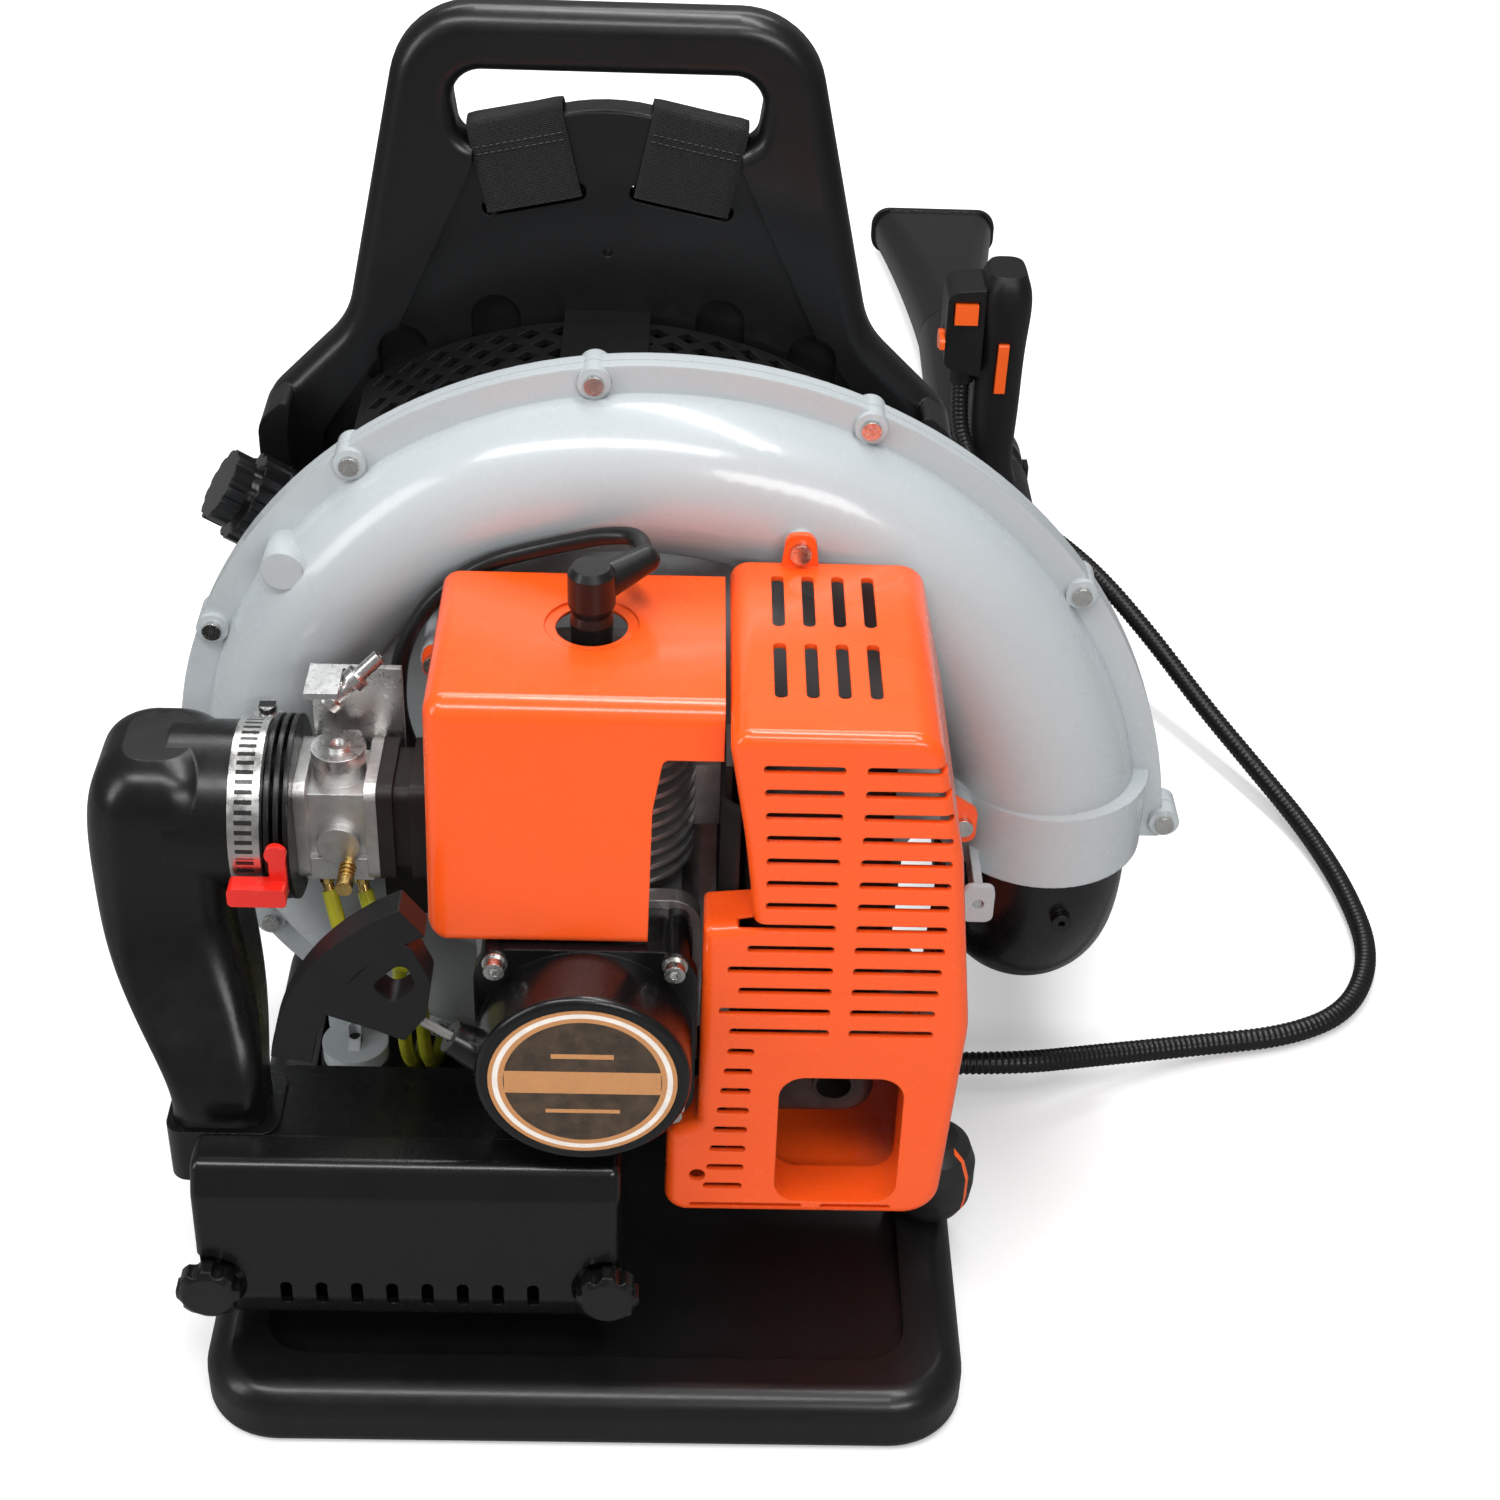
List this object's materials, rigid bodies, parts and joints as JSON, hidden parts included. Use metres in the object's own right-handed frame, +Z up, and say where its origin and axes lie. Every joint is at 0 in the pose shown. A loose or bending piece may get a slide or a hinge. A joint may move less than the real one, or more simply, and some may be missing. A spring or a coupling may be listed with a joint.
{
  "type": "backpack leaf blower",
  "caption": "Backpack leaf blower with petrol engine, scroll fan housing, moulded back frame, flexible hose, blower tube with control grip and flared nozzle",
  "frame": {"origin": "on the floor under the middle of the base tray", "axes": "+Z up, the engine faces -Y, the wearer's side and the laid-down tube lie towards +Y, +X is the outlet side"},
  "size_m": [0.6303, 1.2543, 0.53],
  "materials": {
    "black_plastic": "moulded, satin",
    "gloss_black": "glossy",
    "webbing": "woven",
    "padding": "padded fabric",
    "grey_casting": "pale grey, semi-gloss",
    "rubber": "dull",
    "cast_aluminium": "as cast",
    "steel": "zinc plated",
    "orange_plastic": "glossy",
    "dark_steel": "heat-proof matt",
    "red_plastic": "glossy",
    "label": "printed bands",
    "phenolic": "moulded",
    "brass": "turned",
    "plug": "plated",
    "fuel_hose": "yellow-green, translucent look",
    "paper": "pleated paper",
    "black_cord": "corrugated",
    "reel_plastic": "textured",
    "rope": "braided"
  },
  "bodies": {
    "machine": {"backpack_frame": "black_plastic", "back_cushion": "padding", "shoulder_pad_left": "padding", "shoulder_pad_right": "padding", "strap_webbing": "webbing", "strap_fittings": "black_plastic", "volute_front": "grey_casting", "volute_rear": "grey_casting", "rubber_mounts": "rubber", "side_buffer": "rubber", "intake_guard": "black_plastic", "fuel_tank": "black_plastic", "crankcase": "cast_aluminium", "cylinder": "cast_aluminium", "crank_bearings": "steel", "starter_housing": "black_plastic", "starter_label": "label", "spark_plug": "plug", "ignition_lead": "rubber", "ignition_coil": "phenolic", "muffler": "dark_steel", "cylinder_cover": "orange_plastic", "muffler_cover": "orange_plastic", "heat_baffle": "dark_steel", "screws_and_bolts": "steel", "carburettor_body": "cast_aluminium", "insulator_block": "phenolic", "carburettor_fittings": "brass", "cable_bracket": "steel", "fuel_hoses": "fuel_hose", "intake_adaptor": "rubber", "intake_clamp": "steel", "intake_duct": "black_plastic", "air_filter_box": "black_plastic", "filter_element": "paper", "outlet_elbow": "black_plastic", "elbow_hose_clamp": "steel", "hose_near_half": "rubber", "control_conduit": "black_cord"},
    "rotor": {"crankshaft": "steel", "fan_impeller": "cast_aluminium", "flywheel": "cast_aluminium"},
    "reel": {"starter_reel": "reel_plastic"},
    "pull_grip": {"starter_grip": "reel_plastic", "starter_rope": "rope"},
    "tank_cap": {"fuel_cap": "gloss_black"},
    "filter_lid": {"air_filter_cover": "black_plastic"},
    "knob_left": {"cover_knob_left": "gloss_black"},
    "knob_right": {"cover_knob_right": "gloss_black"},
    "throttle": {"throttle_drum": "steel"},
    "choke": {"choke_lever": "red_plastic"},
    "tube": {"hose_far_half": "rubber", "tube_hose_clamp": "steel", "blower_tube": "black_plastic", "nozzle": "black_plastic", "control_grip": "gloss_black"},
    "trigger_body": {"trigger": "gloss_black"},
    "cruise": {"cruise_lever": "orange_plastic"},
    "stop": {"stop_switch": "orange_plastic"},
    "lock_out": {"lock_out_bar": "orange_plastic"}
  },
  "joints": [
    {"name": "rotor_spin", "type": "hinge", "parent": "machine", "child": "rotor", "pos_m": [0, 0, 0.195], "axis": [0, 1, 0], "continuous": true},
    {"name": "starter_reel_turn", "type": "hinge", "parent": "machine", "child": "reel", "pos_m": [0, 0, 0.195], "axis": [0, 1, 0], "range_deg": [0, 1600]},
    {"name": "starter_pull", "type": "slide", "parent": "machine", "child": "pull_grip", "axis": [-0.8131, 0, 0.5821], "range_m": [0, 0.6], "stiffness_N_per_m": 4},
    {"name": "fuel_cap_turn", "type": "hinge", "parent": "machine", "child": "tank_cap", "pos_m": [-0.147, 0.102, 0.312], "axis": [-0.8198, -0.12, 0.5599], "range_deg": [0, 180]},
    {"name": "filter_cover_off", "type": "slide", "parent": "machine", "child": "filter_lid", "axis": [0, -1, 0], "range_m": [0, 0.06]},
    {"name": "knob_left_turn", "type": "hinge", "parent": "filter_lid", "child": "knob_left", "pos_m": [-0.159, -0.134, 0.076], "axis": [0, -1, 0], "continuous": true},
    {"name": "knob_right_turn", "type": "hinge", "parent": "filter_lid", "child": "knob_right", "pos_m": [0.01, -0.134, 0.076], "axis": [0, -1, 0], "continuous": true},
    {"name": "throttle_trigger", "type": "hinge", "parent": "tube", "child": "trigger_body", "pos_m": [0.238, 0.61842, 0.18353], "axis": [-1, 0, 0], "range_deg": [0, 15], "stiffness_Nm_per_rad": 0.05},
    {"name": "throttle_turn", "type": "hinge", "parent": "machine", "child": "throttle", "pos_m": [-0.105, -0.034, 0.275], "axis": [0, 0, -1], "range_deg": [0, 60]},
    {"name": "choke_turn", "type": "hinge", "parent": "machine", "child": "choke", "pos_m": [-0.127, -0.075, 0.256], "axis": [0, 1, 0], "range_deg": [0, 35]},
    {"name": "tube_yaw_swing", "type": "hinge", "parent": "machine", "child": "tube", "pos_m": [0.221, 0.25102, 0.08066], "axis": [0, 0, 1], "range_deg": [-12, 12], "deforming": ["hose_near_half", "hose_far_half", "control_conduit"]},
    {"name": "cruise_set", "type": "hinge", "parent": "tube", "child": "cruise", "pos_m": [0.202, 0.58889, 0.16642], "axis": [1, 0, 0], "range_deg": [-20, 20]},
    {"name": "stop_rock", "type": "hinge", "parent": "tube", "child": "stop", "pos_m": [0.212, 0.58059, 0.18968], "axis": [1, 0, 0], "range_deg": [-7, 7]},
    {"name": "lock_out_press", "type": "slide", "parent": "tube", "child": "lock_out", "axis": [0, 0.9995, -0.0303], "range_m": [0, 0.003], "stiffness_N_per_m": 100}
  ],
  "couplings": [
    {"joint": "starter_reel_turn", "follows": "starter_pull", "rad_per_m": 45.455},
    {"joint": "throttle_turn", "follows": "throttle_trigger", "ratio": 3.5}
  ]
}
